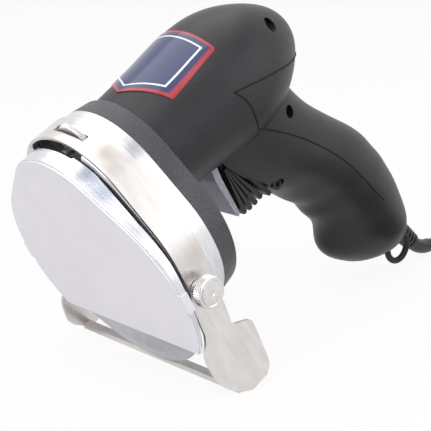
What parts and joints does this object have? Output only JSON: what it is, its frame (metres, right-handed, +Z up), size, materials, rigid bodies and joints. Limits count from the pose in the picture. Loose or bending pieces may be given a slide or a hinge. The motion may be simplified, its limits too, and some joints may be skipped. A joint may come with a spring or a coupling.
{
  "type": "electric kebab slicer",
  "caption": "Hand-held electric kebab slicer: pistol grip with trigger, geared motor, round blade under a cover, sliding guide strap set by a thumb wheel, cord with plug.",
  "frame": {"origin": "centre of the tool's footprint box at table height, without the cord past its sleeve", "axes": "+X from the blade end to the cord end, +Y across the tool, +Z up; the blade's axis leans 26 degrees up from +X, as the tool lies on its guide arms and its heel"},
  "size_m": [0.2832, 0.2003, 0.1464],
  "materials": {
    "charcoal": "fine matt grain",
    "ring_metal": "bright brushed",
    "steel": "satin",
    "plate_steel": "satin",
    "blade_steel": "ground",
    "bright_steel": "polished",
    "label": "printed plain panel with a border",
    "trigger_grey": "satin",
    "black_plastic": "matt",
    "boot_rubber": "matt",
    "cord_rubber": "satin",
    "core_iron": "plain",
    "copper": "bright",
    "carbon": "matt",
    "fan_plastic": "satin"
  },
  "bodies": {
    "housing": {"gear_housing": "ring_metal", "motor_flange": "charcoal", "left_shell": "charcoal", "right_shell": "charcoal", "flange_screws": "bright_steel", "shell_screws": "bright_steel", "blade_cover": "ring_metal", "cover_screws": "bright_steel", "face_plate": "plate_steel", "label_plate": "label", "spindle_bearings": "bright_steel", "motor_bearings": "bright_steel", "field_core": "core_iron", "field_coils": "copper", "brush_holders": "copper", "brushes": "carbon", "boot_frame": "black_plastic", "trigger_boot": "boot_rubber", "trigger_pin": "bright_steel", "switch_body": "black_plastic", "wheel_stud": "bright_steel", "cord_clamp": "black_plastic", "cord_sleeve": "cord_rubber", "hanging_loop": "black_plastic", "power_cord": "cord_rubber", "cord_coil": "cord_rubber", "coil_tie": "boot_rubber", "cord_tail": "cord_rubber", "plug": "cord_rubber", "plug_pins": "bright_steel"},
    "blade_set": {"blade": "blade_steel", "blade_screws": "bright_steel", "spindle": "bright_steel", "spindle_gear": "bright_steel"},
    "armature": {"armature_shaft": "bright_steel", "armature_core": "core_iron", "armature_windings": "copper", "commutator": "copper", "fan": "fan_plastic", "pinion": "bright_steel"},
    "guide": {"guide_strap": "steel", "guide_bar": "steel"},
    "wheel": {"thumb_wheel": "steel"},
    "knob_left": {"knob_left": "steel"},
    "knob_right": {"knob_right": "steel"},
    "trigger": {"trigger": "trigger_grey"},
    "plunger": {"switch_plunger": "black_plastic"}
  },
  "joints": [
    {"name": "blade_spin", "type": "hinge", "parent": "housing", "child": "blade_set", "pos_m": [-0.08928, 0, 0.0473], "axis": [0.8988, 0, 0.4384], "continuous": true},
    {"name": "armature_spin", "type": "hinge", "parent": "housing", "child": "armature", "pos_m": [-0.05881, 0, 0.09888], "axis": [0.8988, 0, 0.4384], "continuous": true},
    {"name": "guide_slide", "type": "slide", "parent": "housing", "child": "guide", "axis": [0.8988, 0, 0.4384], "range_m": [-0.001, 0.002]},
    {"name": "wheel_turn", "type": "hinge", "parent": "guide", "child": "wheel", "pos_m": [-0.10313, -0.0043, 0.10307], "axis": [0.8988, 0, 0.4384], "range_deg": [-185, 365]},
    {"name": "knob_left_turn", "type": "hinge", "parent": "housing", "child": "knob_left", "pos_m": [-0.0803, -0.05, 0.0469], "axis": [0, 1, 0], "range_deg": [0, 360]},
    {"name": "knob_right_turn", "type": "hinge", "parent": "housing", "child": "knob_right", "pos_m": [-0.0803, 0.05, 0.0469], "axis": [0, -1, 0], "range_deg": [0, 360]},
    {"name": "trigger_pull", "type": "hinge", "parent": "housing", "child": "trigger", "pos_m": [-0.03861, 0, 0.0837], "axis": [0, -1, 0], "range_deg": [0, 10], "stiffness_Nm_per_rad": 0.6, "deforming": ["trigger_boot"]},
    {"name": "plunger_push", "type": "slide", "parent": "housing", "child": "plunger", "axis": [0.6428, 0, 0.766], "range_m": [0, 0.0042]}
  ],
  "couplings": [
    {"joint": "armature_spin", "follows": "blade_spin", "ratio": -4.5},
    {"joint": "wheel_turn", "follows": "guide_slide", "rad_per_m": 3141.6},
    {"joint": "plunger_push", "follows": "trigger_pull", "m_per_rad": 0.0229}
  ]
}
